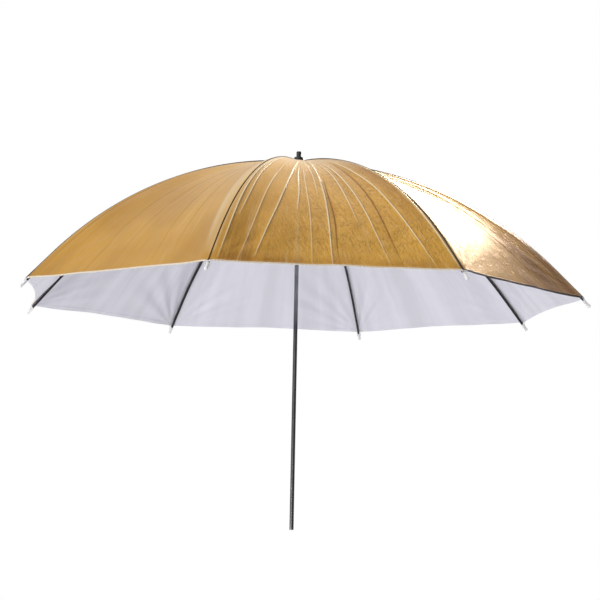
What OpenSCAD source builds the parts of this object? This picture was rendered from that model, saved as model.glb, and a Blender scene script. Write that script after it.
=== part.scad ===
// Umbrella reflector: a folding eight-rib photographic umbrella on a bare metal shaft.
// The origin is the centre of the shaft's lower end, +Z runs up the shaft to the ferrule,
// and rib 1 lies in the +X direction. The umbrella is drawn open.

/* [Canopy] */
// Radius from the shaft's axis to the fabric's corners
canopy_r = 545; // [450:5:660]
// Height of the fabric's apex above the shaft's lower end
apex_z = 703; // [640:1:900]
// Radius of curvature of the canopy's crown, along a rib
canopy_arc_r = 735; // [560:5:900]
// How far behind the shaft's axis that curve's centre lies
arc_offset = 32; // [0:1:60]
// Slope of the straight outer part of the ribs, degrees
outer_slope = 46; // [36:0.5:52]
// Thickness of the fabric
fabric_t = 0.8; // [0.4:0.1:1.5]
// Gap between the fabric and the ribs' backs
fabric_gap = 0.9; // [0.7:0.1:2]
// How far the middle of a gore is drawn in, at the hem
gore_dish = 6; // [0:1:15]
// How much further it is drawn in halfway along
gore_sag = 8; // [0:1:14]
// How far the hem is cut back halfway between two ribs
hem_scallop = 10; // [0:1:20]
// Gap between a gore's edge and the rib's mid plane
seam_gap = 0.3; // [0.2:0.1:1]
// Radius where the gores start, at the crown
gore_inner_r = 13; // [12:0.5:24]

/* [Shaft] */
// Outer diameter of the shaft
shaft_d = 8; // [7:0.1:10]
// Wall of the shaft tube
shaft_wall = 0.8; // [0.6:0.1:1.2]
// Length of the plug in the shaft's lower end
plug_l = 12; // [5:1:30]
// Chamfer on the shaft's lower end
end_chamfer = 0.4; // [0.1:0.1:0.6]
// Distance below the catch's rivet of the ring groove that marks how high a clamp may grip
grip_mark_gap = 15; // [5:1:60]
// Width of the ring groove
grip_mark_w = 1; // [0.5:0.1:2]
// Depth of the ring groove
grip_mark_depth = 0.25; // [0.1:0.05:0.4]

/* [Ribs] */
// Width of a rib's channel
rib_w = 3.4; // [3:0.1:4.5]
// Depth of a rib's channel
rib_h = 3; // [2.4:0.1:4]
// Sheet thickness of a rib's channel
rib_wall = 0.6; // [0.4:0.1:0.8]
// Angle round the crown's curve at which the stretchers are joined, degrees
joint_angle = 24.8; // [20:0.2:30]
// Distance from a rib's middle line in to its stretcher joint
joint_drop = 4; // [3.8:0.1:6]
// Thickness of the lug that holds a stretcher joint
lug_t = 1.6; // [1.2:0.1:2]
// Radius of the lug round its hole
lug_r = 2; // [1.6:0.1:2.2]

/* [Rib tips] */
// Length of a tip beyond the fabric's corner
tip_l = 17.7; // [12:0.1:26]
// Outer diameter of a tip
tip_d = 5.6; // [5:0.1:8]
// Diameter of the bead on a tip's end
tip_bead_d = 6.4; // [5.8:0.1:9]
// Depth of a rib's end in its tip
tip_grip = 7; // [4:0.5:10]
// Diameter of the thread hole across a tip
tip_hole_d = 1.4; // [0.8:0.1:2]

/* [Stretchers] */
// Diameter of a stretcher's rod
stretcher_d = 2.8; // [2.2:0.1:3.4]
// Thickness of each cheek of a stretcher's fork
cheek_t = 0.9; // [0.6:0.1:1.4]
// Radius of the cheeks round the rivet
cheek_r = 1.9; // [1.5:0.1:2.1]
// Length of the fork's slot
fork_l = 5; // [4:0.5:8]
// Length of the block behind the fork's slot
fork_block_l = 4; // [3:0.5:8]
// Diameter of a joint rivet's shank
rivet_d = 1.6; // [1.2:0.1:2]
// Diameter of a joint rivet's heads
rivet_head_d = 3; // [2.4:0.1:3.6]
// Thickness of a joint rivet's heads
rivet_head_t = 0.5; // [0.3:0.1:0.8]

/* [Crown and runner] */
// Diameter of the ring wires that the ribs and stretchers hang on
wire_d = 1.2; // [1:0.1:1.4]
// Radius of the eyes round a ring wire
eye_r = 1.8; // [1.5:0.1:2.2]
// Width of a stretcher's eye
eye_w = 3; // [2.4:0.1:3.4]
// Wall between the shaft and the slots of the crown and the runner
hub_wall = 2.9; // [2.4:0.1:4]
// How far the crown and the runner's head reach beyond the ring wires
lip = 3; // [2.5:0.5:5]
// Depth of the crown below its ring wire
crown_drop = 6.5; // [5.5:0.5:12]
// Height of the runner's head above its ring wire
head_rise = 3.5; // [2.5:0.5:6]
// Depth of the runner's head below its ring wire
head_drop = 5; // [4:0.5:8]
// Outer diameter of the runner's sleeve
sleeve_d = 17.2; // [16.6:0.2:20]
// Length of the sleeve below the ring wire
sleeve_l = 38; // [28:1:60]
// Diameter of the grip flange at the sleeve's lower end
grip_d = 23; // [20:0.5:30]
// Height of the grip flange
grip_h = 4; // [2:0.5:8]
// Diameter of the pins across the shaft
pin_d = 2; // [1.5:0.1:2.5]
// How far the stop pin stands out of the shaft on each side
stop_reach = 1.8; // [1:0.1:2.2]

/* [Catch] */
// Thickness of the catch's leaf
leaf_t = 0.5; // [0.3:0.1:0.6]
// Width of the catch
leaf_w = 2.2; // [1.8:0.1:2.4]
// Length from the catch's rivet to its shoulder
leaf_l = 46; // [36:1:60]
// How far the catch's nose stands out of the shaft
nose_reach = 2.6; // [1.5:0.1:2.6]
// Length of the catch's sloping nose
nose_l = 22; // [14:1:28]
// Radius of the catch's eye
catch_eye_r = 1.3; // [1.2:0.05:1.4]

/* [Ferrule] */
// Diameter of the collar over the fabric's apex
collar_d = 19.5; // [16:0.5:22]
// Height of the collar
collar_h = 8.5; // [5:0.5:14]
// Diameter of the ferrule's tip
ferrule_d = 9.6; // [9:0.1:12]
// Height of the ferrule's tip above the collar
ferrule_h = 11.1; // [8:0.1:18]
// Thickness of the ferrule's end over the shaft
ferrule_end_t = 2; // [1:0.5:3]
// Diameter of the fabric rosette under the collar
rosette_d = 29; // [28:1:60]
// Thickness of the rosette
rosette_t = 0.6; // [0.4:0.1:1.2]

/* [Clearances] */
// Radial clearance of a pin or wire in its eye
pin_gap = 0.06; // [0.02:0.01:0.1]
// Radial clearance of the runner on the shaft
slide_gap = 0.1; // [0.05:0.05:0.2]
// Gap on each side of a part that swings in a slot
side_gap = 0.25; // [0.15:0.05:0.4]
// Gap between parts that only pass near each other
free_gap = 0.3; // [0.2:0.05:0.5]
// Bite of a ring wire into the foot of its groove
wire_bite = 0.05; // [0.02:0.01:0.1]

/* [Hidden] */
$fn = 64;
RIBS = 8;
STEP = 360 / RIBS;
HALF = STEP / 2;
EPS = 0.01;
FINE = 160;

shaft_r = shaft_d / 2;
shaft_bore_r = shaft_r - shaft_wall;
slot_r = shaft_r + hub_wall;
hinge_r = slot_r + side_gap + eye_r;
hub_r = hinge_r + lip;
// The ring wires are round, so across an eye's width they bow out by this much.
ring_bow = hinge_r - sqrt(pow(hinge_r, 2) - pow(max(rib_w, eye_w) / 2, 2));
ring_r = hinge_r + ring_bow / 2;
wire_bore_r = wire_d / 2 + ring_bow / 2 + pin_gap;

// Everything on a rib lies on arcs about one centre behind the shaft's axis.
apex_angle = asin(arc_offset / canopy_arc_r);
arc_z = apex_z - canopy_arc_r * cos(apex_angle);
rib_arc_r = canopy_arc_r - fabric_t - fabric_gap - rib_h / 2;
start_angle = asin((hinge_r + arc_offset) / rib_arc_r);
straight_l = (canopy_r + arc_offset - canopy_arc_r * sin(outer_slope)) / cos(outer_slope);
arc_l = canopy_arc_r * (outer_slope - apex_angle) * PI / 180;
gore_l = arc_l + straight_l;

crown_z = arc_z + rib_arc_r * cos(start_angle);
crown_top_z = crown_z + eye_r;
joint_arc_r = rib_arc_r - joint_drop;
joint_r = joint_arc_r * sin(joint_angle) - arc_offset;
joint_z = arc_z + joint_arc_r * cos(joint_angle);
runner_z = 2 * joint_z - crown_z;
stretcher_l = sqrt(pow(joint_r - hinge_r, 2) + pow(crown_z - joint_z, 2));
stretcher_rise = atan2(joint_z - runner_z, joint_r - hinge_r);

rosette_z = apex_z + free_gap;
collar_z = rosette_z + rosette_t;
ferrule_z = collar_z + collar_h;
shaft_l = ferrule_z + ferrule_h - ferrule_end_t;

runner_low_z = runner_z - sleeve_l;
runner_top_z = runner_z + head_rise;
stop_z = runner_top_z + free_gap + pin_d / 2;
crown_pin_z = crown_z - crown_drop + pin_d;
shoulder_z = runner_low_z - free_gap;
catch_z = shoulder_z - leaf_l;
grip_top_z = catch_z - grip_mark_gap - grip_mark_w;
leaf_out = shaft_bore_r - free_gap - pow(leaf_w / 2, 2) / (2 * shaft_bore_r);
catch_x = leaf_out - catch_eye_r;
key_w = leaf_w + 2 * free_gap;
leaf_over = 4;
GORE_RINGS = 16;
GORE_COLS = 8;

PARTS = ["shaft_tube", "shaft_end_plug", "crown", "crown_wire", "crown_pin", "canopy_washer",
         "canopy_rosette", "ferrule_collar", "ferrule_tip", "stop_pin", "catch_spring",
         "catch_rivet", "runner", "runner_wire"];
RIB_PARTS = ["rib_", "rib_tip_", "stretcher_", "joint_rivet_", "gore_"];

// Turns the children to rib k's own vertical plane.
module at_rib(k) {
    rotate([0, 0, STEP * (k - 1)])
        children();
}

// Stands a shape drawn in the XY plane up in the XZ plane, with its thickness along Y.
module upright() {
    rotate([90, 0, 0])
        children();
}

// A pin that lies across a part, centred, along Z before it is stood up.
module cross_cylinder(r, h) {
    cylinder(r = r, h = h, center = true);
}

// One shape for each slot round the crown or the runner's head.
module all_round() {
    for (k = [1:RIBS])
        at_rib(k)
            children();
}

// The ring wire that a set of eyes turns on.
module ring_wire(z) {
    translate([0, 0, z])
        rotate_extrude($fn = FINE)
            translate([ring_r, 0])
                circle(d = wire_d);
}

// The groove that a ring wire lies in. The wire bites into its foot.
module wire_groove(z) {
    gap = wire_d / 2 + pin_gap;
    rotate_extrude($fn = FINE)
        translate([ring_r - wire_d / 2 + wire_bite, z - gap])
            square([lip + wire_d, 2 * gap]);
}

module shaft_tube() {
    color([0.62, 0.62, 0.64])
        difference() {
            union() {
                translate([0, 0, end_chamfer])
                    cylinder(r = shaft_r, h = shaft_l - end_chamfer);
                cylinder(r1 = shaft_r - end_chamfer, r2 = shaft_r, h = end_chamfer);
            }
            translate([0, 0, -EPS])
                cylinder(r = shaft_bore_r, h = shaft_l + 2 * EPS);
            cross_pin_hole(stop_z);
            cross_pin_hole(crown_pin_z);
            flat_ring(shaft_d, shaft_r - grip_mark_depth, grip_top_z, grip_mark_w);
            translate([0, 0, catch_z])
                rotate([0, 0, HALF])
                    translate([catch_x, 0, 0])
                        rotate([90, 0, 0])
                            cross_cylinder(rivet_d / 2, shaft_d + 2);
            rotate([0, 0, HALF])
                translate([0, -key_w / 2, shoulder_z - nose_l - free_gap * 2])
                    cube([shaft_d, key_w, nose_l + 4 * free_gap]);
        }
}

// The hole that a cross pin takes in the shaft, between two ribs.
module cross_pin_hole(z) {
    translate([0, 0, z])
        rotate([90, 0, HALF])
            cross_cylinder(pin_d / 2, shaft_d + 2 * hub_wall + 20);
}

module shaft_end_plug() {
    color([0.08, 0.08, 0.08])
        translate([0, 0, end_chamfer])
            cylinder(r = shaft_bore_r, h = plug_l);
}

module crown() {
    slot_w = rib_w + 2 * side_gap;
    color([0.1, 0.1, 0.1])
        difference() {
            translate([0, 0, crown_z - crown_drop])
                cylinder(r = hub_r, h = crown_drop + eye_r, $fn = FINE);
            translate([0, 0, crown_z - crown_drop - 1])
                cylinder(r = shaft_r, h = crown_drop + eye_r + 2);
            all_round()
                translate([slot_r, -slot_w / 2, crown_z - crown_drop - 1])
                    cube([hub_r, slot_w, crown_drop + eye_r + 2]);
            wire_groove(crown_z);
            cross_pin_hole(crown_pin_z);
        }
}

module crown_wire() {
    color([0.7, 0.7, 0.72])
        ring_wire(crown_z);
}

module crown_pin() {
    color([0.7, 0.7, 0.72])
        translate([0, 0, crown_pin_z])
            rotate([90, 0, HALF])
                cross_cylinder(pin_d / 2, 2 * (hub_r - 1));
}

module flat_ring(outer_r, inner_r, z, h) {
    translate([0, 0, z])
        difference() {
            cylinder(r = outer_r, h = h);
            translate([0, 0, -1])
                cylinder(r = inner_r, h = h + 2);
        }
}

module canopy_washer() {
    washer_r = gore_inner_r * cos(HALF) - 2 * free_gap;
    color([0.85, 0.85, 0.87])
        flat_ring(min(washer_r, hub_r), shaft_r, crown_top_z, rosette_z - crown_top_z);
}

module canopy_rosette() {
    color([0.76, 0.62, 0.36])
        flat_ring(rosette_d / 2, shaft_r, rosette_z, rosette_t);
}

module ferrule_collar() {
    edge = 1.2;
    color([0.06, 0.06, 0.06])
        translate([0, 0, collar_z])
            rotate_extrude()
                polygon([[shaft_r, 0], [collar_d / 2, 0], [collar_d / 2 - edge / 2, collar_h - edge],
                         [collar_d / 2 - 1.5 * edge, collar_h], [shaft_r, collar_h]]);
}

module ferrule_tip() {
    edge = 0.8;
    r = ferrule_d / 2;
    depth = ferrule_h - ferrule_end_t;
    color([0.06, 0.06, 0.06])
        translate([0, 0, ferrule_z])
            rotate_extrude()
                polygon([[shaft_r, 0], [r, 0], [r, ferrule_h - edge], [r - edge, ferrule_h],
                         [0, ferrule_h], [0, depth], [shaft_r, depth]]);
}

module stop_pin() {
    color([0.7, 0.7, 0.72])
        translate([0, 0, stop_z])
            rotate([90, 0, HALF])
                cross_cylinder(pin_d / 2, shaft_d + 2 * stop_reach);
}

module catch_spring() {
    nose_x = shaft_r + nose_reach;
    color([0.6, 0.6, 0.62])
        rotate([0, 0, HALF])
            upright()
                difference() {
                    linear_extrude(leaf_w, center = true)
                        union() {
                            translate([catch_x, catch_z])
                                circle(r = catch_eye_r);
                            translate([leaf_out - leaf_t, catch_z])
                                square([leaf_t, leaf_l + leaf_over]);
                            polygon([[leaf_out - leaf_t / 2, shoulder_z - nose_l],
                                     [leaf_out, shoulder_z - nose_l], [nose_x, shoulder_z - 2],
                                     [nose_x, shoulder_z], [leaf_out - leaf_t / 2, shoulder_z]]);
                        }
                    translate([catch_x, catch_z, 0])
                        cross_cylinder(rivet_d / 2 + pin_gap, leaf_w + 2);
                }
}

module catch_rivet() {
    half_l = sqrt(pow(shaft_r, 2) - pow(catch_x + rivet_d / 2, 2));
    color([0.7, 0.7, 0.72])
        rotate([0, 0, HALF])
            upright()
                translate([catch_x, catch_z, 0])
                    cross_cylinder(rivet_d / 2, 2 * half_l);
}

module runner() {
    slot_w = eye_w + 2 * side_gap;
    slot_foot = runner_z - eye_r - side_gap;
    color([0.1, 0.1, 0.1])
        difference() {
            union() {
                translate([0, 0, runner_z - head_drop])
                    cylinder(r = hub_r, h = head_drop + head_rise, $fn = FINE);
                translate([0, 0, runner_low_z])
                    cylinder(d = sleeve_d, h = sleeve_l);
                translate([0, 0, runner_low_z])
                    cylinder(d = grip_d, h = grip_h);
            }
            translate([0, 0, runner_low_z - 1])
                cylinder(r = shaft_r + slide_gap, h = sleeve_l + head_rise + 2);
            all_round()
                translate([slot_r, -slot_w / 2, slot_foot])
                    cube([hub_r, slot_w, head_rise + eye_r + side_gap + 1]);
            wire_groove(runner_z);
            rotate([0, 0, HALF])
                translate([0, -key_w / 2, runner_low_z - 1])
                    cube([shaft_r + nose_reach + free_gap, key_w, sleeve_l + head_rise + 2]);
        }
}

module runner_wire() {
    color([0.7, 0.7, 0.72])
        ring_wire(runner_z);
}

// The channel section of a rib, open towards the arc's centre.
module rib_section() {
    inner_w = rib_w - 2 * rib_wall;
    difference() {
        square([rib_h, rib_w], center = true);
        translate([-rib_h / 2 - 1, -inner_w / 2])
            square([rib_h - rib_wall + 1, inner_w]);
    }
}

// Turns to a point of the rib's arc: X then points out from the arc's centre, and -Y runs
// along the rib to its tip.
module on_arc(angle) {
    translate([-arc_offset, arc_z, 0])
        rotate([0, 0, 90 - angle])
            children();
}

module rib(k) {
    sweep = outer_slope - start_angle;
    color([0.22, 0.22, 0.24])
        at_rib(k)
            upright()
                difference() {
                    union() {
                        on_arc(outer_slope)
                            rotate_extrude(angle = sweep, $fn = FINE)
                                translate([rib_arc_r, 0])
                                    rib_section();
                        on_arc(outer_slope)
                            translate([rib_arc_r, 0, 0])
                                rotate([90, 0, 0])
                                    linear_extrude(straight_l + tip_grip)
                                        rib_section();
                        on_arc(start_angle)
                            translate([rib_arc_r, 0, 0])
                                cross_cylinder(eye_r, rib_w);
                        on_arc(joint_angle)
                            joint_lug();
                    }
                    on_arc(start_angle)
                        translate([rib_arc_r, 0, 0])
                            cross_cylinder(wire_bore_r, rib_w + 2);
                    on_arc(joint_angle)
                        translate([joint_arc_r, 0, 0])
                            cross_cylinder(rivet_d / 2 + pin_gap, rib_w + 2);
                }
}

// The lug under a rib that its stretcher's fork straddles.
module joint_lug() {
    translate([joint_arc_r, 0, 0])
        cross_cylinder(lug_r, lug_t);
    translate([joint_arc_r, -lug_r, -lug_t / 2])
        cube([joint_drop + rib_h / 2 - rib_wall / 2, 2 * lug_r, lug_t]);
}

module rib_tip(k) {
    clear = 0.5;
    body_l = tip_l - clear;
    color([0.9, 0.9, 0.9])
        at_rib(k)
            upright()
                on_arc(outer_slope)
                    translate([rib_arc_r, -straight_l - clear, 0])
                        rotate([90, 0, 0])
                            difference() {
                                union() {
                                    cylinder(d = tip_d, h = body_l - tip_bead_d / 2);
                                    translate([0, 0, body_l - tip_bead_d / 2])
                                        sphere(d = tip_bead_d);
                                }
                                translate([-rib_h / 2, -rib_w / 2, -1])
                                    cube([rib_h, rib_w, tip_grip - clear + 1]);
                                translate([0, 0, tip_grip + tip_hole_d])
                                    rotate([90, 0, 0])
                                        cross_cylinder(tip_hole_d / 2, tip_bead_d + 2);
                            }
}

// Lays the children along a stretcher: the runner's ring wire at the origin, X to the joint.
module on_stretcher(k) {
    at_rib(k)
        upright()
            translate([hinge_r, runner_z, 0])
                rotate([0, 0, stretcher_rise])
                    children();
}

module stretcher(k) {
    fork_w = lug_t + 2 * (side_gap + cheek_t);
    gap_w = lug_t + 2 * side_gap;
    rod_l = stretcher_l - fork_l - fork_block_l / 2;
    color([0.22, 0.22, 0.24])
        on_stretcher(k)
            difference() {
                union() {
                    cross_cylinder(eye_r, eye_w);
                    rotate([0, 90, 0])
                        cylinder(d = stretcher_d, h = rod_l);
                    translate([stretcher_l - fork_l - fork_block_l, -cheek_r, -fork_w / 2])
                        cube([fork_l + fork_block_l, 2 * cheek_r, fork_w]);
                    translate([stretcher_l, 0, 0])
                        cross_cylinder(cheek_r, fork_w);
                }
                cross_cylinder(wire_bore_r, eye_w + 2);
                translate([stretcher_l, 0, 0])
                    cross_cylinder(rivet_d / 2, fork_w + 2);
                translate([stretcher_l - fork_l, -cheek_r - 1, -gap_w / 2])
                    cube([fork_l + cheek_r + 1, 2 * cheek_r + 2, gap_w]);
            }
}

module joint_rivet(k) {
    fork_w = lug_t + 2 * (side_gap + cheek_t);
    color([0.7, 0.7, 0.72])
        on_stretcher(k)
            translate([stretcher_l, 0, 0]) {
                cross_cylinder(rivet_d / 2, fork_w);
                for (side = [-1, 1])
                    translate([0, 0, side * (fork_w + rivet_head_t) / 2])
                        cross_cylinder(rivet_head_d / 2, rivet_head_t);
            }
}

// Radius and height of the canopy at a distance s along a rib, and depth below its surface.
function along_rib(s, depth) =
    let (a = slope_at(s), extra = max(s - arc_l, 0), r = canopy_arc_r - depth)
    [r * sin(a) + extra * cos(a) - arc_offset, arc_z + r * cos(a) - extra * sin(a)];

// The canopy's slope over a rib.
function slope_at(s) = apex_angle + min(s / arc_l, 1) * (outer_slope - apex_angle);

// A point on a gore: s along the ribs, t from one seam to the next, depth below the surface.
function gore_point(s, t, depth) =
    let (p = along_rib(s, depth), chord = 2 * p[0] * sin(HALF), inset = seam_gap / chord,
         u = inset + t * (1 - 2 * inset), a = slope_at(s),
         dish = (gore_dish * s / gore_l + gore_sag * sin(180 * s / gore_l)) * sin(180 * u),
         mid_r = p[0] * cos(HALF) - dish * sin(a), side = chord * (u - 0.5))
    [mid_r, side, p[1] - dish * cos(a)];

// Length along the ribs at which the hem lies, t from one seam to the next.
function hem_s(t) = gore_l - hem_scallop * sin(180 * t);

module gore(k) {
    inner_angle = asin((gore_inner_r + arc_offset) / canopy_arc_r);
    inner_s = canopy_arc_r * (inner_angle - apex_angle) * PI / 180;
    cols = GORE_COLS + 1;
    count = (GORE_RINGS + 1) * cols;
    points = [for (depth = [0, fabric_t]) for (i = [0:GORE_RINGS]) for (j = [0:GORE_COLS])
              gore_point(inner_s + (hem_s(j / GORE_COLS) - inner_s) * i / GORE_RINGS,
                         j / GORE_COLS, depth)];
    outer = [for (i = [0:GORE_RINGS - 1]) for (j = [0:GORE_COLS - 1])
             each quad(i * cols + j, i * cols + j + 1, (i + 1) * cols + j + 1, (i + 1) * cols + j)];
    inner = [for (f = outer) [f[2] + count, f[1] + count, f[0] + count]];
    ends = [for (j = [0:GORE_COLS - 1]) for (i = [0, GORE_RINGS])
            each wall(i * cols + j, i * cols + j + 1, count, i > 0)];
    sides = [for (i = [0:GORE_RINGS - 1]) for (j = [0, GORE_COLS])
             each wall(i * cols + j, (i + 1) * cols + j, count, j == 0)];
    color([0.78, 0.62, 0.34])
        rotate([0, 0, STEP * (k - 1) + HALF])
            polyhedron(points, concat(outer, inner, ends, sides));
}

// Two triangles of a four-cornered face.
function quad(a, b, c, d) = [[a, b, c], [a, c, d]];

// The wall that joins an edge of the outer skin to the same edge of the inner skin.
function wall(a, b, step, flip) =
    flip ? quad(a, b, b + step, a + step) : quad(b, a, a + step, b + step);

shaft_tube();
shaft_end_plug();
crown();
crown_wire();
crown_pin();
canopy_washer();
canopy_rosette();
ferrule_collar();
ferrule_tip();
stop_pin();
catch_spring();
catch_rivet();
runner();
runner_wire();
for (k = [1:RIBS]) {
    rib(k);
    rib_tip(k);
    stretcher(k);
    joint_rivet(k);
    gore(k);
}
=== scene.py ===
"""Umbrella reflector: a gold and silver fabric canopy on eight curved ribs and a bare steel shaft."""

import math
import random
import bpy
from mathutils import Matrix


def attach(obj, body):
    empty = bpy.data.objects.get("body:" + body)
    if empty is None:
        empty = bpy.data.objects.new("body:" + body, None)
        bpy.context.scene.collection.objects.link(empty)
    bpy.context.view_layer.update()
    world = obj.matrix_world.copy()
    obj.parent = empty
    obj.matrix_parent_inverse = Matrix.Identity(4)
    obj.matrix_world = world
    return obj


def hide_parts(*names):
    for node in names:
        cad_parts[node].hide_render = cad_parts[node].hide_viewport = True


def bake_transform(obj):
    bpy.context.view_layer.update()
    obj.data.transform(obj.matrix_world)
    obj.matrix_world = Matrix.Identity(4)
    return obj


bl_info = {
    "name": "Umbrella Reflector",
    "version": (1, 0, 0),
    "blender": (4, 5, 0),
    "location": "3D View > Sidebar > Umbrella",
    "description": "Builds the canopy, the finishes and the studio of a folding umbrella reflector",
    "category": "Add Mesh",
}

import bmesh
import bpy
import numpy as np
from mathutils import Matrix, Vector, noise

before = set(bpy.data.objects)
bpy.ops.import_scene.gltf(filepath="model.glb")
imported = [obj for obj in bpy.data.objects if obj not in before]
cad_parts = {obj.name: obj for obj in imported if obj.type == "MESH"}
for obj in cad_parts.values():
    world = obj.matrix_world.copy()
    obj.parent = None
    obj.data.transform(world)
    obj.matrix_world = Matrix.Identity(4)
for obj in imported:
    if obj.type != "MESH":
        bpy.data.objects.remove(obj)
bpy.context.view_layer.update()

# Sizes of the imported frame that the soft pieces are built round, in metres and degrees.
RIBS = 8
RIB_STEP = 45.0
CANOPY_R = 0.545
APEX_Z = 0.703
ARC_R = 0.735
ARC_OFFSET = 0.032
OUTER_SLOPE = math.radians(46.0)
GORE_DISH = 0.006
GORE_SAG = 0.008
HEM_SCALLOP = 0.010
GORE_START = 0.0115
RIB_DEPTH = 0.0032
TIP_R = 0.0028
TIP_HOLE = 0.0089
APEX_SLOPE = math.asin(ARC_OFFSET / ARC_R)
ARC_Z = APEX_Z - ARC_R * math.cos(APEX_SLOPE)
ARC_L = ARC_R * (OUTER_SLOPE - APEX_SLOPE)
STRAIGHT_L = (CANOPY_R + ARC_OFFSET - ARC_R * math.sin(OUTER_SLOPE)) / math.cos(OUTER_SLOPE)
GORE_L = ARC_L + STRAIGHT_L
HALF_GORE = math.radians(RIB_STEP / 2)
HEM_CHORD = 2 * CANOPY_R * math.sin(HALF_GORE)

# The three gores in front, by number. The one at the side is the last.
LEFT_GORE = 6
FRONT_GORE = 7
SIDE_GORE = 8

# Details of the sewn fabric, in metres.
WEAVE_PITCH = 0.00065
WEAVE_RELIEF = 0.00006
SEAM_SINK = 0.0003
SEAM_TOP = 0.0014
SEAM_HALF = 0.0017
FRONT_SEAM_HALF = 0.0008
HEM_BINDING = 0.0027
SIDE_HEM_BINDING = 0.0056
CORNER_LENGTH = 0.0045
CORNER_WIDTH = 0.0066
STITCH_DEPTH = 0.00035
STITCH_WIDTH = 0.0006
HEM_SWELL = 0.0004
HEM_FOLD = 0.0005
ROLL_REACH = 0.0024
SHOULDER_REACH = 0.013
SHOULDER_START = 0.05
SHOULDER_FULL = 0.34
NARROW_GORE = 0.06
CALM_EDGE = 0.008
CALM_LINE = 0.002
FOLD_HEIGHT = 0.0011
FOLD_REACH = 0.11
FOLD_SPREAD = 0.085
RIPPLE_HEIGHT = 0.0016
THREAD_R = 0.00045
THREAD_PITCH = 0.0011

# Marks in the coatings: how many there are to a metre across the fabric and along it, and how
# much one gore's differ from the next's.
STREAKS = (55.0, 2.6, 7.31)
FINE_STREAKS = (170.0, 7.0, 3.17)
CRINKLES = (260.0, 75.0, 5.0)
CLOUDS = (9.0, 6.0, 2.0)
SOFT_STREAKS = (22.0, 1.8, 4.7)
SOFT_CRINKLES = (70.0, 60.0, 9.0)
TAPE_RIBS = (420.0, 900.0, 1.0)
CRINKLE_BENDS = (30.0, 30.0, 1.0)
CRINKLE_BEND = 9.0

# The painted highlight along a narrow crease, and the painted shade beside it, in millimetres.
RIDGE_HALF = 1.7
BESIDE_GAP = 2.0
BESIDE_HALF = 1.5
LINE_CORE = 0.3

# The fabric rosette over the crown, in metres.
ROSETTE_Z = 0.7037
ROSETTE_RINGS = (0.0041, 0.006, 0.008, 0.0097, 0.0108, 0.0122, 0.0136, 0.0148, 0.0158)
ROSETTE_TURNS = 96
ROSETTE_THICKNESS = 0.0005
PINKING = 0.0006

# Radius of the studio's round floor, in metres.
FLOOR_R = 3.0

# Softboxes: name, place, the point it faces, width and height in metres, and power in watts.
SOFTBOXES = (
    ("back_softbox", (0.26, 1.12, 1.12), (0.25, 0.0, 0.60), (0.46, 0.36), 12.0),
    ("front_softbox", (-1.6, -2.4, 1.5), (0.0, 0.0, 0.5), (1.4, 1.2), 14.0),
    ("low_fill", (-1.1, -2.2, -0.25), (0.0, 0.2, 0.75), (0.9, 0.5), 16.0),
)

# Below this height the shaft's colour is darkened towards black, over a soft edge: a painted dark
# reflection.
DARKENED_Z = 0.41
DARKENED_EDGE = 0.03


# ---------------------------------------------------------------- settings

class ClothSettings(bpy.types.PropertyGroup):
    """Sizes and colours of the canopy."""

    thickness: bpy.props.FloatProperty(
        name="Fabric thickness", description="Distance between the gold and the silver faces",
        default=0.0006, min=0.0002, max=0.0012, unit="LENGTH")
    roll_height: bpy.props.FloatProperty(
        name="Seam roll", description="How far the fabric swells beside a seam",
        default=0.0009, min=0.0, max=0.003, unit="LENGTH")
    shoulder_height: bpy.props.FloatProperty(
        name="Shoulder", description="How far the fabric swells in the broad band beside a rib",
        default=0.0024, min=0.0, max=0.006, unit="LENGTH")
    hem_width: bpy.props.FloatProperty(
        name="Hem width", description="Width of the turned and stitched hem",
        default=0.007, min=0.003, max=0.02, unit="LENGTH")
    crease_height: bpy.props.FloatProperty(
        name="Crease height", description="Height of the creases that run out from the crown",
        default=0.0013, min=0.0, max=0.003, unit="LENGTH")
    gold: bpy.props.FloatVectorProperty(
        name="Gold", description="Colour of the gold coating",
        default=(0.76, 0.42, 0.075), min=0.0, max=1.0, size=3, subtype="COLOR")
    # The bronze is the coating's own darker tone in thin patches and streaks, and also painted shade in
    # creases, hollows, crinkles and the darker parts of the gores.
    bronze: bpy.props.FloatVectorProperty(
        name="Bronze", description="Colour of the gold coating where it is thin or creased",
        default=(0.34, 0.135, 0.014), min=0.0, max=1.0, size=3, subtype="COLOR")
    # The cream is painted highlight: on raised folds, crease lines, seam rolls and crinkles and near the
    # crown, besides a little on the fine streaks.
    cream: bpy.props.FloatVectorProperty(
        name="Cream", description="Colour of the coating where it is rubbed along folds",
        default=(0.95, 0.78, 0.48), min=0.0, max=1.0, size=3, subtype="COLOR")
    silver: bpy.props.FloatVectorProperty(
        name="Silver", description="Colour of the silver coating inside",
        default=(0.82, 0.81, 0.88), min=0.0, max=1.0, size=3, subtype="COLOR")


class FrameSettings(bpy.types.PropertyGroup):
    """Colours of the metal and plastic parts."""

    steel: bpy.props.FloatVectorProperty(
        name="Shaft steel", description="Colour of the bright drawn shaft",
        default=(0.30, 0.30, 0.31), min=0.0, max=1.0, size=3, subtype="COLOR")
    lacquer: bpy.props.FloatVectorProperty(
        name="Rib lacquer", description="Colour of the ribs' and stretchers' dark lacquer",
        default=(0.018, 0.018, 0.024), min=0.0, max=1.0, size=3, subtype="COLOR")
    plastic: bpy.props.FloatVectorProperty(
        name="Black plastic", description="Colour of the crown, the runner and the ferrule",
        default=(0.012, 0.012, 0.013), min=0.0, max=1.0, size=3, subtype="COLOR")
    nylon: bpy.props.FloatVectorProperty(
        name="White nylon", description="Colour of the ribs' tips",
        default=(0.80, 0.80, 0.80), min=0.0, max=1.0, size=3, subtype="COLOR")


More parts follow.
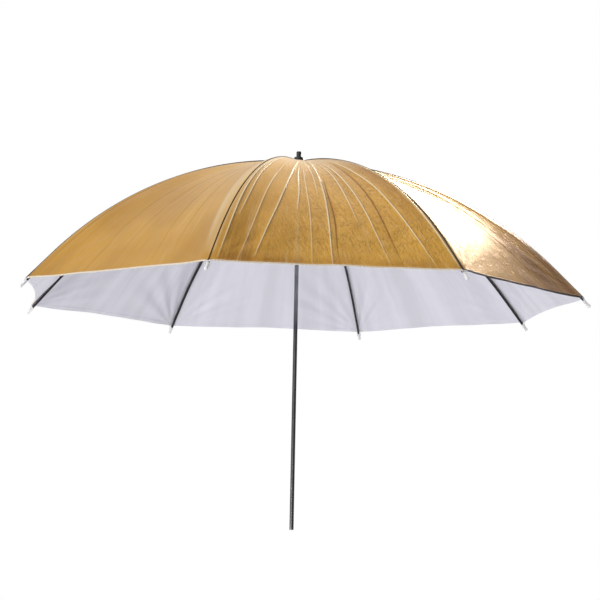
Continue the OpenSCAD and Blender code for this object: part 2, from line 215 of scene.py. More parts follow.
class StudioSettings(bpy.types.PropertyGroup):
    """The camera and the floor."""

    distance: bpy.props.FloatProperty(
        name="Distance", description="Camera's distance from the point it looks at",
        default=3.111, min=1.0, max=10.0, unit="LENGTH")
    azimuth: bpy.props.FloatProperty(
        name="Azimuth", description="Direction of the camera round the shaft",
        default=math.radians(14.9), unit="ROTATION")
    elevation: bpy.props.FloatProperty(
        name="Elevation", description="Height of the camera as an angle",
        default=math.radians(-6.99), unit="ROTATION")
    roll: bpy.props.FloatProperty(
        name="Roll", description="Tilt of the camera about its own axis",
        default=math.radians(1.12), unit="ROTATION")
    field: bpy.props.FloatProperty(
        name="Field of view", description="Angle that the camera takes in",
        default=math.radians(20.87), unit="ROTATION")
    aim_height: bpy.props.FloatProperty(
        name="Aim height", description="Height of the point that the camera looks at",
        default=0.435, unit="LENGTH")
    aim_shift: bpy.props.FloatProperty(
        name="Aim shift", description="Sideways distance of that point from the shaft",
        default=0.0076, unit="LENGTH")
    floor_height: bpy.props.FloatProperty(
        name="Floor height", description="Height of the studio floor",
        default=-0.36, unit="LENGTH")


# ---------------------------------------------------------------- materials

class Number:
    """A number socket of a material, so that sums on it read as plain arithmetic."""

    def __init__(self, finish, socket):
        self.finish = finish
        self.socket = socket

    def math(self, operation, *others):
        """Any other operation of a Math node."""
        return self.finish.math(operation, self, *others)

    def __add__(self, other):
        return self.math("ADD", other)

    __radd__ = __add__

    def __mul__(self, other):
        return self.math("MULTIPLY", other)

    __rmul__ = __mul__

    def __sub__(self, other):
        return self.math("SUBTRACT", other)

    def __rsub__(self, other):
        return self.finish.math("SUBTRACT", other, self)

    def __abs__(self):
        return self.math("ABSOLUTE")


# A Mix node's outputs are a number, a vector and a colour.
MIXED_COLOUR = 2


class Finish:
    """The nodes of one material, or of a world. Each method adds a node and hands back its output."""

    def __init__(self, name, kind="materials"):
        self.owner = getattr(bpy.data, kind).new(name)
        self.owner.use_nodes = True
        self.tree = self.owner.node_tree
        self.tree.nodes.clear()

    def node(self, kind, settings=None, sockets=None):
        """Adds a node: its settings first, then the values or links of its sockets."""
        made = self.tree.nodes.new(kind)
        for name, value in (settings or {}).items():
            setattr(made, name, value)
        for name, value in (sockets or {}).items():
            self.plug(made, name, value)
        return made

    def plug(self, made, name, value):
        """Sets or links one socket, known by its number, its identifier or its name."""
        if isinstance(name, int):
            target = made.inputs[name]
        else:
            found = [s for s in made.inputs if name in (s.identifier, s.name)]
            target = found[0]
        if isinstance(value, Number):
            value = value.socket
        if isinstance(value, bpy.types.NodeSocket):
            self.tree.links.new(value, target)
        elif hasattr(value, "__len__") and target.type == "RGBA" and len(value) == 3:
            target.default_value = (*value, 1.0)
        else:
            target.default_value = value

    def math(self, operation, *values):
        """A Math node on two or three values, or on one."""
        made = self.node("ShaderNodeMath", {"operation": operation}, dict(enumerate(values)))
        return Number(self, made.outputs[0])

    def limit(self, value, low, high):
        """Where a value lies between low and high, from 0 to 1, with soft ends. Low may be the higher."""
        made = self.node(
            "ShaderNodeMapRange", {"interpolation_type": "SMOOTHSTEP"},
            {"Value": value, "From Min": low, "From Max": high, "To Min": 0.0, "To Max": 1.0})
        return Number(self, made.outputs[0])

    def mix(self, share, first, second):
        """Two colours mixed by a share."""
        made = self.node(
            "ShaderNodeMix", {"data_type": "RGBA"},
            {"Factor_Float": share, "A_Color": first, "B_Color": second})
        return made.outputs[MIXED_COLOUR]

    def attribute(self, name):
        """A number that the mesh holds at its points."""
        made = self.node("ShaderNodeAttribute", {"attribute_name": name})
        return Number(self, made.outputs["Fac"])

    def split(self, vector):
        """The three numbers of a vector."""
        made = self.node("ShaderNodeSeparateXYZ", None, {0: vector})
        return [Number(self, s) for s in made.outputs]

    def join(self, x, y, z):
        """A vector from three numbers."""
        return self.node("ShaderNodeCombineXYZ", None, {0: x, 1: y, 2: z}).outputs[0]

    def grain(self, place, scale, detail=2.0, roughness=0.5):
        """Soft random values round a half."""
        made = self.node(
            "ShaderNodeTexNoise", {"noise_dimensions": "3D"},
            {"Vector": place, "Scale": scale, "Detail": detail, "Roughness": roughness})
        return Number(self, made.outputs[0])

    def object_place(self):
        """Where a point lies on its own piece, in metres."""
        return self.node("ShaderNodeTexCoord").outputs["Object"]

    def bump(self, height, distance, strength=1.0, normal=None):
        """A surface direction from a relief, laid over an earlier one if one is given."""
        sockets = {"Height": height, "Distance": distance, "Strength": strength}
        if normal is not None:
            sockets["Normal"] = normal
        return self.node("ShaderNodeBump", None, sockets).outputs[0]

    def shade(self, **sockets):
        """Ends the material with a Principled shader. Names use _ for a space."""
        values = {name.replace("_", " "): value for name, value in sockets.items()}
        shader = self.node("ShaderNodeBsdfPrincipled", None, values)
        self.node("ShaderNodeOutputMaterial", None, {"Surface": shader.outputs[0]})
        return self.owner


def woven(finish, across, along, under):
    """The relief of a plain weave, over a coarser relief."""
    turn = 2 * math.pi / WEAVE_PITCH
    warp = (across * turn).math("SINE")
    weft = (along * turn).math("SINE")
    return finish.bump(warp * weft * 0.5 + 0.5, WEAVE_RELIEF, 0.5, under)


def cloth_places(finish):
    """The fabric's own coordinates: across and along in metres, and the gore's number."""
    made = finish.node("ShaderNodeAttribute", {"attribute_name": "cloth_place"})
    return finish.split(made.outputs["Vector"])


def cloth_marks(finish, places, counts, detail, roughness, bend=None):
    """Random marks on the fabric, round a half, which a bend can make wander."""
    across, along, gore = (place * count for place, count in zip(places, counts))
    if bend is not None:
        across = across + bend
        along = along + bend
    return finish.grain(finish.join(across, along, gore), 1.0, detail, roughness)


def gold_cloth(cloth):
    """The outer coating: gold, bronze where it is thin and as painted shade in creases and hollows, and
    cream as painted highlight along raised folds, on the crinkles and near the crown.
    """
    finish = Finish("gold_cloth")
    across, along, gore = cloth_places(finish)
    fold = finish.attribute("cloth_fold_light")
    line_gap = finish.attribute("cloth_line_gap")
    line = finish.attribute("cloth_line")
    crinkling = finish.attribute("cloth_crinkling")
    depth = finish.attribute("cloth_painted_shade")
    fanned = (finish.attribute("cloth_fan") * HEM_CHORD, along, gore)
    places = (across, along, gore)
    streak = cloth_marks(finish, fanned, STREAKS, 4.0, 0.62)
    fine = cloth_marks(finish, fanned, FINE_STREAKS, 3.0, 0.6)
    bend = cloth_marks(finish, places, CRINKLE_BENDS, 2.0, 0.5) * CRINKLE_BEND
    crinkle = cloth_marks(finish, places, CRINKLES, 4.0, 0.62, bend)
    cloud = cloth_marks(finish, places, CLOUDS, 2.0, 0.5)
    crown_highlight = finish.limit(along, 0.30, 0.03)
    gold = tuple(cloth.gold)
    bronze = tuple(cloth.bronze)
    cream = tuple(cloth.cream)

    # Thin and thick patches, and the streaks that fan out from the crown. The cream over the gores near
    # the crown, and on the streaks there, is painted highlight.
    base = finish.mix(finish.limit(cloud, 0.3, 0.72) * 0.30, gold, bronze)
    base = finish.mix(finish.limit(streak, 0.42, 0.22) * 0.5, base, bronze)
    # The depth attribute darkens the gold towards bronze: painted shade, and painted reflection of the
    # dark surroundings.
    base = finish.mix(depth * (0.6 + (streak - 0.5) * 2.2), base, bronze)
    base = finish.mix(crown_highlight * 0.35, base, cream)
    base = finish.mix(finish.limit(streak, 0.58, 0.76) * (crown_highlight * 0.5 + 0.2), base, cream)
    base = finish.mix(finish.limit(fine, 0.58, 0.75) * 0.22, base, cream)

    # Painted shade and painted highlight on the crinkles, then on the broad folds of the mesh and the
    # rolls beside the seams: bronze where they lie in, cream where they stand out.
    base = finish.mix(finish.limit(crinkle, 0.50, 0.32) * crinkling * 0.6, base, bronze)
    base = finish.mix(finish.limit(crinkle, 0.54, 0.74) * crinkling * 0.45, base, cream)
    base = finish.mix(finish.limit(fold, 0.25, 1.3) * 0.5, base, cream)
    base = finish.mix(finish.limit(fold, -0.1, -0.8) * 0.45, base, bronze)

    # A painted highlight along a crease that stands out, with painted shade beside it, and a painted
    # shade line along one that lies in.
    ridge = finish.limit(abs(line_gap), RIDGE_HALF, LINE_CORE)
    beside = finish.limit(abs(line_gap - BESIDE_GAP), BESIDE_HALF, LINE_CORE)
    bright = (ridge * line * 1.6).math("MINIMUM", 1.0).math("MAXIMUM", 0.0)
    hollow = line.math("LESS_THAN", 0.0)
    dark = beside * line * 1.1 - ridge * line * 1.4 * hollow
    base = finish.mix(dark.math("MINIMUM", 1.0).math("MAXIMUM", 0.0), base, bronze)
    base = finish.mix(bright, base, cream)

    rough = 0.36 + (fine - 0.5) * 0.22 + (crinkle - 0.5) * 0.16
    height = streak * 0.5 + fine * 0.2 + crinkle * (crinkling * 0.9 + 0.06) + ridge * line * 0.35
    rippled = finish.bump(height, 0.0024, 0.75)
    return finish.shade(
        Base_Color=base, Metallic=0.85, Roughness=rough,
        Normal=woven(finish, across, along, rippled))


def silver_cloth(cloth):
    """The inner coating: a soft, faintly streaked silver."""
    finish = Finish("silver_cloth")
    across, along, gore = cloth_places(finish)
    fanned = (finish.attribute("cloth_fan") * HEM_CHORD, along, gore)
    streak = cloth_marks(finish, fanned, SOFT_STREAKS, 3.0, 0.55)
    crinkle = cloth_marks(finish, (across, along, gore), SOFT_CRINKLES, 3.0, 0.5)
    light = tuple(min(1.0, c * 1.05) for c in cloth.silver)
    dark = tuple(c * 0.93 for c in cloth.silver)
    base = finish.mix(finish.limit(streak, 0.3, 0.72), dark, light)
    rippled = finish.bump(streak * 0.7 + crinkle * 0.15, 0.0016, 0.35)
    return finish.shade(
        Base_Color=base, Metallic=0.4, Roughness=0.48 + (crinkle - 0.5) * 0.2,
        Normal=woven(finish, across, along, rippled))


def edge_cloth(name, colour, shade_colour):
    """The ribbed tape of the hem and of the corners."""
    finish = Finish(name)
    ribbing = cloth_marks(finish, cloth_places(finish), TAPE_RIBS, 2.0, 0.5)
    base = finish.mix(finish.limit(ribbing, 0.3, 0.7), shade_colour, colour)
    raised = finish.bump(ribbing, 0.0003, 0.8)
    return finish.shade(Base_Color=base, Metallic=0.15, Roughness=0.55, Normal=raised)


def thread(name, colour):
    """Twisted sewing thread."""
    finish = Finish(name)
    place = finish.object_place()
    x, y, z = finish.split(place)
    twist = ((x + y * 0.6 + z * 0.8) * (2 * math.pi / THREAD_PITCH)).math("SINE") * 0.5 + 0.5
    fuzz = finish.grain(place, 1400.0, 2.0)
    # The thread is darker where its twist sinks: painted shade in the twist's grooves.
    dark = tuple(c * 0.6 for c in colour)
    base = finish.mix(twist * 0.6 + fuzz * 0.3, dark, colour)
    return finish.shade(
        Base_Color=base, Roughness=0.7 + (fuzz - 0.5) * 0.2,
        Normal=finish.bump(twist, 0.0002, 0.7))


def drawn_steel(name, colour, rough, darkened_below=-1.0):
    """Bright metal with fine drawing lines, darkened below a given height by a painted dark reflection.
    """
    finish = Finish(name)
    x, y, z = finish.split(finish.object_place())
    lines = finish.grain(finish.join(x * 2600.0, y * 2600.0, z * 14.0), 1.0, 3.0, 0.6)
    marks = finish.grain(finish.join(x * 40.0, y * 40.0, z * 30.0), 1.0, 3.0, 0.6)
    dark = tuple(c * 0.72 for c in colour)
    base = finish.mix(finish.limit(marks, 0.35, 0.7), dark, tuple(colour))
    # Below that height the colour goes towards near black: painted dark reflection.
    painted_dark = finish.limit(z, darkened_below + DARKENED_EDGE, darkened_below - DARKENED_EDGE)
    base = finish.mix(painted_dark * 0.62, base, (0.02, 0.02, 0.022))
    roughness = rough + (lines - 0.5) * 0.16 + (marks - 0.5) * 0.14
    return finish.shade(
        Base_Color=base, Metallic=1.0, Roughness=roughness,
        Normal=finish.bump(lines, 0.00008, 0.4))


def lacquered_steel(colour):
    """Dark stoved lacquer with a slight orange peel, rubbed brighter in places."""
    finish = Finish("lacquered_steel")
    place = finish.object_place()
    peel = finish.grain(place, 900.0, 2.0)
    rub = finish.limit(finish.grain(place, 60.0, 4.0, 0.65), 0.56, 0.74)
    base = finish.mix(rub * 0.35, tuple(colour), (0.10, 0.10, 0.115))
    return finish.shade(
        Base_Color=base, Metallic=0.35, Roughness=0.42 + (peel - 0.5) * 0.2 - rub * 0.08,
        Normal=finish.bump(peel, 0.00012, 0.5), Coat_Weight=0.25, Coat_Roughness=0.3)


def moulded_plastic(name, colour, rough, scatter=0.0):
    """Moulded plastic: a fine spark-eroded grain and soft flow marks."""
    finish = Finish(name)
    place = finish.object_place()
    skin = finish.grain(place, 2200.0, 2.0)
    flow = finish.grain(place, 90.0, 3.0, 0.6)
    light = tuple(min(1.0, c * 1.5 + 0.008) for c in colour)
    base = finish.mix(finish.limit(flow, 0.4, 0.7) * 0.5, tuple(colour), light)
    settings = {"Subsurface_Weight": scatter, "Subsurface_Scale": 0.002} if scatter else {}
    return finish.shade(
        Base_Color=base, Roughness=rough + (skin - 0.5) * 0.14 + (flow - 0.5) * 0.1,
        Normal=finish.bump(skin, 0.00005, 0.5), **settings)


def floor_paint():
    """Matt off-white paint with a little unevenness."""
    finish = Finish("floor_paint")
    place = finish.object_place()
    cloud = finish.grain(place, 1.3, 3.0)
    grit = finish.grain(place, 160.0, 2.0)
    base = finish.mix(finish.limit(cloud, 0.3, 0.7), (0.80, 0.80, 0.80), (0.84, 0.84, 0.84))
    return finish.shade(Base_Color=base, Roughness=0.85, Normal=finish.bump(grit, 0.0003, 0.2))


def dress(node_name, material):
    """Gives a CAD node its finish."""
    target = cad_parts[node_name]
    target.data.materials.clear()
    target.data.materials.append(material)


# ---------------------------------------------------------------- canopy shapes

def rib_profile(s, depth=0.0):
    """Radius, height and slope of the canopy's line over a rib, at a length s from the apex."""
    s = np.asarray(s, float)
    slope = APEX_SLOPE + np.minimum(s / ARC_L, 1.0) * (OUTER_SLOPE - APEX_SLOPE)
    beyond = np.maximum(s - ARC_L, 0.0)
    r = ARC_R - depth
    radius = r * np.sin(slope) + beyond * np.cos(slope) - ARC_OFFSET
    height = ARC_Z + r * np.cos(slope) - beyond * np.sin(slope)
    return radius, height, slope


def turned(radius, side, height, degrees):
    """A point given outwards, sideways and up, turned round the shaft."""
    a = math.radians(degrees)
    x = radius * math.cos(a) - side * math.sin(a)
    y = radius * math.sin(a) + side * math.cos(a)
    return np.stack([x, y, height], axis=-1)


# A gore's mesh: distances of its close columns from a seam and of its close rows from the hem,
# in metres, and how many columns and rows lie between them.
EDGE_STEPS = np.array([0.0, 0.0007, 0.0014, 0.0022, 0.0032, 0.0046, 0.0066, 0.0095])
FIELD_COLUMNS = 138
EDGE_SHARE = 0.16
HEM_STEPS = np.array([0.012, 0.0092, 0.0078, 0.0070, 0.0062, 0.0046, 0.0026, 0.0012, 0.0004, 0.0])
FIELD_ROWS = 104
FIELD_END = 0.016


def gore_grid():
    """For each point of a gore's mesh, its length from the apex and its share across."""
    rows = np.concatenate([
        np.linspace(GORE_START, GORE_L - FIELD_END, FIELD_ROWS), GORE_L - HEM_STEPS])
    radius, _, _ = rib_profile(rows)
    chord = 2 * radius * math.sin(HALF_GORE)
    scale = np.minimum(1.0, EDGE_SHARE * chord / EDGE_STEPS[-1])
    edge = EDGE_STEPS[None, :] * scale[:, None]
    inner = np.linspace(0.0, 1.0, FIELD_COLUMNS + 2)[1:-1]
    middle = edge[:, -1:] + inner[None, :] * (chord[:, None] - 2 * edge[:, -1:])
    across = np.concatenate([edge, middle, chord[:, None] - edge[:, ::-1]], axis=1)
    u = across / chord[:, None]
    along = (rows - GORE_START) / (GORE_L - GORE_START)
    s = rows[:, None] - HEM_SCALLOP * np.sin(math.pi * u) * along[:, None] ** 3
    return s, u


# Creases that run out from the crown: share across at the start and the end, lengths from the
# apex at the start and the end, relative height, and half width in millimetres.
CREASES = {
    LEFT_GORE: [
        (0.04, 0.04, 0.10, 0.60, -0.5, 3.0), (0.24, 0.30, 0.08, 0.60, -0.3, 2.0),
        (0.39, 0.45, 0.06, 0.61, -0.3, 2.0), (0.52, 0.68, 0.06, 0.61, -0.35, 2.0),
        (0.70, 0.78, 0.06, 0.61, -0.35, 2.0), (0.945, 0.965, 0.06, 0.62, 1.5, 7.0),
    ],
    FRONT_GORE: [
        (0.035, 0.03, 0.05, 0.62, 1.0, 2.0), (0.075, 0.06, 0.10, 0.50, 0.8, 2.0),
        (0.20, 0.11, 0.16, 0.628, 0.5, 2.4), (0.37, 0.175, 0.04, 0.61, 1.15, 2.0),
        (0.345, 0.345, 0.20, 0.46, 0.9, 2.0), (0.39, 0.41, 0.16, 0.625, 0.45, 2.0),
        (0.44, 0.47, 0.10, 0.40, 0.5, 2.0), (0.52, 0.49, 0.06, 0.628, 1.1, 1.9),
        (0.54, 0.52, 0.30, 0.60, -0.8, 2.0), (0.61, 0.645, 0.10, 0.50, 0.7, 2.0),
        (0.66, 0.72, 0.06, 0.61, 0.8, 2.0), (0.775, 0.77, 0.16, 0.625, -0.8, 1.9),
        (0.80, 0.90, 0.08, 0.62, 1.0, 1.9), (0.982, 0.985, 0.06, 0.625, 1.8, 2.0),
    ],
}


def creases_of(k):
    """The crease list of a gore; the plainer gores get theirs from a fixed seed."""
    if k in CREASES:
        return CREASES[k]
    draw = random.Random(40 + k)
    count = 9
    found = []
    for n in range(count):
        place = (n + 0.5 + draw.uniform(-0.35, 0.35)) / count
        found.append((
            place, place + draw.uniform(-0.03, 0.03), draw.uniform(0.03, 0.12),
            draw.uniform(0.3, 0.62), draw.choice((1.0, 0.8, -0.7)) * 0.7,
            draw.uniform(2.2, 3.6)))
    return found


NO_LINE = 12.0
LINE_REACH = 9.0
SHARPEST = 3.5


def crease_lines(k, u, s, chord):
    """Creases that fade in and out along their length.

    Gives their height as a share of the crease height. The narrow ones also have a sharp line along
    their middle: the signed distance to the nearest line, in millimetres, and its strength.
    """
    total = np.zeros_like(u)
    nearest = np.full_like(u, NO_LINE)
    strength = np.zeros_like(u)
    for start_u, end_u, start_s, end_s, height, width in creases_of(k):
        run = np.clip((s - start_s) / (end_s - start_s), 0.0, 1.0)
        centre = start_u + (end_u - start_u) * run
        centre = centre + 0.004 * np.sin(9.0 * run + 5.0 * start_u)
        swell = np.sin(math.pi * run) ** 0.55
        swell[(run <= 0.0) | (run >= 1.0)] = 0.0
        swell = swell * np.clip(s / 0.30, 0.15, 1.0)
        gap = (u - centre) * chord * 1000.0
        total += height * swell * np.exp(-0.5 * (gap / width) ** 2)
        if width < SHARPEST:
            closer = (np.abs(gap) < np.abs(nearest)) & (swell > 0.0)
            nearest[closer] = gap[closer]
            fade = np.clip(1.0 - np.abs(gap) / LINE_REACH, 0.0, 1.0)
            strength[closer] = (height * swell * fade)[closer]
    return total, nearest, strength


def ramp(value, low, high):
    """From 0 at low to 1 at high, with soft ends."""
    share = np.clip((value - low) / (high - low), 0.0, 1.0)
    return share * share * (3.0 - 2.0 * share)


def cloth_crinkling(k, u, s):
    """How crinkled the coating is, from 0 to 1: it scales the crinkles' bump and their painted shade and
    highlight.
    """
    if k == LEFT_GORE:
        return np.full_like(u, 0.12)
    if k == FRONT_GORE:
        return 0.35 + 0.65 * ramp(u, 0.1, 0.5) * np.clip((GORE_L - s) / 0.08, 0.3, 1.0)
    return np.full_like(u, 0.9 if k == SIDE_GORE else 0.45)


def cloth_painted_shade(k, u, s):
    """Painted shade and painted reflection of the dark surroundings on the coating, darkening the gold
    towards bronze: 1 is full bronze.
    """
    if k == LEFT_GORE:
        return 0.35 * ramp(u, 0.3, 0.0) + 0.2 * ramp(s, 0.45, 0.62)
    if k == FRONT_GORE:
        left = ramp(u, 0.55, 0.05) * ramp(s, 0.34, 0.60)
        band = ramp(u, 0.86, 0.93) * ramp(s, 0.60, 0.45)
        hem = 0.5 * ramp(s, 0.585, 0.615)
        return np.clip(0.6 * left + 0.8 * band + hem, 0.0, 1.0)
    if k == SIDE_GORE:
        return 1.6 * ramp(u * 0.6 + s / GORE_L, 1.0, 1.5)
    return 0.3 * ramp(s, 0.40, 0.62) + 0.2 * ramp(np.abs(u - 0.5), 0.3, 0.5)


def corner_folds(k, u, s, chord):
    """Soft folds that fan out from the ribs' ends, in metres."""
    draw = random.Random(7 * k + 3)
    total = np.zeros_like(u)
    for side in (0.0, 1.0):
        sideways = np.abs(u - side) * chord
        upward = GORE_L - s
        reach = np.hypot(sideways, upward)
        angle = np.arctan2(sideways, upward + 1e-6)
        phase = draw.uniform(0.0, 6.0)
        fold = np.sin(angle * draw.uniform(15.0, 19.0) + phase)
        fade = np.exp(-((reach - FOLD_REACH) / FOLD_SPREAD) ** 2)
        fade = fade * np.sin(np.clip(angle, 0, 1.5) * 2.0)
        total += FOLD_HEIGHT * fold * np.clip(fade, 0.0, 1.0)
    return total * (0.3 if k >= LEFT_GORE else 2.2)


def ripple(k, u, s):
    """Slow unevenness of the stretched cloth, in metres."""
    out = np.zeros_like(u)
    for i in range(out.shape[0]):
        for j in range(out.shape[1]):
            out[i, j] = noise.noise(Vector((u[i, j] * 7.0, s[i, j] * 9.0, k * 3.7)))
    edge = np.clip(np.minimum(u, 1 - u) * 8.0, 0.0, 1.0)
    return out * RIPPLE_HEIGHT * edge * np.clip(s / 0.2, 0.1, 1.0)


def bulge(gap, reach):
    """A swell that starts at a seam, is highest at its reach, where it is 1, and dies away."""
    return gap / reach * np.exp(1.0 - gap / reach)


def gore_relief(k, cloth, s, u, chord, gap, hem):
    """How far gore k stands out from its smooth shape, in metres, and the numbers that its
    material reads. gap and hem are the distances from the nearer seam and from the hem."""
    size = np.minimum(1.0, chord / NARROW_GORE)
    roll = cloth.roll_height * bulge(gap, ROLL_REACH * size)
    roll = roll * size * np.clip(hem / 0.03, 0.35, 1.0) * np.clip(s / 0.25, 0.3, 1.0)
    calm = np.clip(gap / CALM_EDGE, 0.0, 1.0)
    fold, line_gap, line = crease_lines(k, u, s, chord)
    fold = fold * calm
    lift = fold * cloth.crease_height
    shoulder = cloth.shoulder_height * ramp(s, SHOULDER_START, SHOULDER_FULL)
    lift = lift + shoulder * bulge(gap, SHOULDER_REACH * size)
    # The rolls beside the seams add to the fold number, which the material turns into a cream painted
    # highlight.
    fold = fold + 0.8 * roll / max(cloth.roll_height, 1e-6)
    lift = lift + corner_folds(k, u, s, chord) * calm + ripple(k, u, s)
    stitch = -STITCH_DEPTH * np.exp(-0.5 * ((hem - cloth.hem_width) / STITCH_WIDTH) ** 2)
    off_middle = np.abs(hem - 0.5 * cloth.hem_width)
    swell = HEM_SWELL * np.clip(1.0 - off_middle / (0.6 * cloth.hem_width), 0, 1)
    numbers = {
        "cloth_fan": u, "cloth_fold_light": fold, "cloth_line_gap": line_gap,
        "cloth_line": line * np.clip(gap / CALM_LINE, 0.0, 1.0),
        "cloth_crinkling": cloth_crinkling(k, u, s), "cloth_painted_shade": cloth_painted_shade(k, u, s)}
    return lift + roll + stitch + swell, numbers


def gore_faces(k, cloth):
    """The outer and inner points of gore k, their places on the cloth and the numbers that its
    material reads, and their distances from the nearer seam and from the hem."""
    s, u = gore_grid()
    radius, height, slope = rib_profile(s)
    chord = 2 * radius * math.sin(HALF_GORE)
    across = u * chord
    gap = np.minimum(across, chord - across)
    hem = GORE_L - HEM_SCALLOP * np.sin(math.pi * u) - s
    dish = GORE_DISH * s / GORE_L + GORE_SAG * np.sin(math.pi * s / GORE_L)
    dish = dish * np.sin(math.pi * u)
    out, numbers = gore_relief(k, cloth, s, u, chord, gap, hem)
    middle = radius * math.cos(HALF_GORE)
    outward = middle - dish * np.sin(slope) + out * np.sin(slope)
    upward = height - dish * np.cos(slope) + out * np.cos(slope)
    side = chord * (u - 0.5)
    degrees = RIB_STEP * (k - 1) + RIB_STEP / 2
    outer = turned(outward, side, upward, degrees)
    thick = cloth.thickness + HEM_FOLD * (hem < cloth.hem_width)
    lower_out = outward - thick * np.sin(slope)
    lower_up = upward - thick * np.cos(slope)
    inner = turned(lower_out, side, lower_up, degrees)
    places = np.stack([side, s, np.full_like(s, float(k))], axis=-1)
    return outer, inner, places, numbers, gap, hem


def sheet_mesh(name, outer, inner, places, numbers, slot_of):
    """A closed shell from two grids of points. slot_of gives each face's material, and the border
    along the hem has the binding's."""
    rows, columns = outer.shape[:2]
    count = rows * columns
    points = np.concatenate([outer.reshape(-1, 3), inner.reshape(-1, 3)])
    faces = []
    slots = []
    for i in range(rows - 1):
        for j in range(columns - 1):
            a = i * columns + j
            b = a + 1
            c = a + columns + 1
            d = a + columns
            faces.append((a, d, c, b))
            slots.append(slot_of(i, j, True))
            faces.append((a + count, b + count, c + count, d + count))
            slots.append(slot_of(i, j, False))
    border = [(0, j) for j in range(columns)]
    border += [(i, columns - 1) for i in range(1, rows)]
    border += [(rows - 1, j) for j in range(columns - 2, -1, -1)]
    border += [(i, 0) for i in range(rows - 2, 0, -1)]
    ring = [i * columns + j for i, j in border]
    for here, (a, b) in enumerate(zip(ring, ring[1:] + ring[:1])):
        faces.append((a, b, b + count, a + count))
        slots.append(2 if border[here][0] == rows - 1 else 0)
    mesh = bpy.data.meshes.new(name)
    mesh.from_pydata([tuple(p) for p in points], [], faces)
    mesh.polygons.foreach_set("material_index", slots)
    mesh.polygons.foreach_set("use_smooth", [True] * len(faces))
    held = mesh.attributes.new("cloth_place", "FLOAT_VECTOR", "POINT")
    doubled = np.concatenate([places.reshape(-1, 3)] * 2).astype(np.float32)
    held.data.foreach_set("vector", doubled.ravel())
    for label, values in numbers.items():
        held = mesh.attributes.new(label, "FLOAT", "POINT")
        held.data.foreach_set("value", np.concatenate([values.ravel()] * 2).astype(np.float32))
    sharpen_border(mesh, count)
    made = bpy.data.objects.new(name, mesh)
    bpy.context.collection.objects.link(made)
    return made


def sharpen_border(mesh, count):
    """Turns the faces outwards and marks the two rims sharp. The first count points are the outer."""
    marked = bmesh.new()
    marked.from_mesh(mesh)
    bmesh.ops.recalc_face_normals(marked, faces=marked.faces)
    for edge in marked.edges:
        first = edge.verts[0].index < count
        second = edge.verts[1].index < count
        if first == second and any(
                len({v.index < count for v in face.verts}) == 2 for face in edge.link_faces):
            edge.smooth = False
    marked.to_mesh(mesh)
    marked.free()
    mesh.validate()


def fan_weights(obj, k):
    """How far round each point lies from rib k to the next rib, from 0 to 1."""
    points = np.zeros(len(obj.data.vertices) * 3)
    obj.data.vertices.foreach_get("co", points)
    points = points.reshape(-1, 3)
    start = math.radians(RIB_STEP * (k - 1))
    angle = np.arctan2(points[:, 1], points[:, 0]) - start
    angle = (angle + math.pi) % (2 * math.pi) - math.pi
    share = np.clip(angle / (2 * HALF_GORE), 0.0, 1.0)
    return share.astype(np.float32)


def gore_area():
    """Flat area of one gore's cut, in square metres."""
    rows = np.linspace(GORE_START, GORE_L, 200)
    radius, _, _ = rib_profile(rows)
    chord = 2 * radius * math.sin(HALF_GORE)
    return float(np.sum((chord[1:] + chord[:-1]) / 2 * np.diff(rows)))


def bind_to_ribs(obj, k):
    """Bakes the fabric's place into its mesh and works out the fan weights from rib k to the next rib;
    these and the two rib points are not used, so the fabric doesn't follow the ribs.
    """
    start = turned(0.3, 0.0, 0.6, RIB_STEP * (k - 1))
    end = turned(0.3, 0.0, 0.6, RIB_STEP * k)
    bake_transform(obj)
    fan_weights(obj, k)


def swept(name, path, ups, profile):
    """A strip with the given section (sideways, up) along a path, closed at its ends."""
    path = np.asarray(path, float)
    ups = np.asarray(ups, float)
    ahead = np.gradient(path, axis=0)
    ahead /= np.linalg.norm(ahead, axis=1)[:, None]
    sides = np.cross(ahead, ups)
    sides /= np.linalg.norm(sides, axis=1)[:, None]
    shape = bmesh.new()
    rings = []
    for p, a, b in zip(path, sides, ups):
        rings.append([shape.verts.new(p + a * x + b * y) for x, y in profile])
    for first, second in zip(rings, rings[1:]):
        for i in range(len(profile)):
            n = (i + 1) % len(profile)
            shape.faces.new((first[i], first[n], second[n], second[i]))
    shape.faces.new(rings[0][::-1])
    shape.faces.new(rings[-1])
    bmesh.ops.recalc_face_normals(shape, faces=shape.faces)
    for face in shape.faces:
        face.smooth = len(face.verts) == 4
    mesh = bpy.data.meshes.new(name)
    shape.to_mesh(mesh)
    shape.free()
    made = bpy.data.objects.new(name, mesh)
    bpy.context.collection.objects.link(made)
    return made


def rib_point(k, s, out=0.0, side=0.0):
    """A point over rib k: s along from the apex, out from the fabric's face, and sideways."""
    radius, height, slope = rib_profile(s)
    r = radius + out * np.sin(slope)
    z = height + out * np.cos(slope)
    side = np.zeros_like(r) + side
    return turned(r, side, z, RIB_STEP * (k - 1))


def tube(name, points, radius, material):
    """A round thread through the points."""
    curve = bpy.data.curves.new(name, "CURVE")
    curve.dimensions = "3D"
    curve.bevel_depth = radius
    curve.bevel_resolution = 3
    curve.use_fill_caps = True
    spline = curve.splines.new("NURBS")
    spline.points.add(len(points) - 1)
    for target, p in zip(spline.points, points):
        target.co = (*p, 1.0)
    spline.use_endpoint_u = True
    spline.order_u = 3
    spline.resolution_u = 6
    curve.materials.append(material)
    made = bpy.data.objects.new(name, curve)
    bpy.context.collection.objects.link(made)
    return made


# ---------------------------------------------------------------- operators

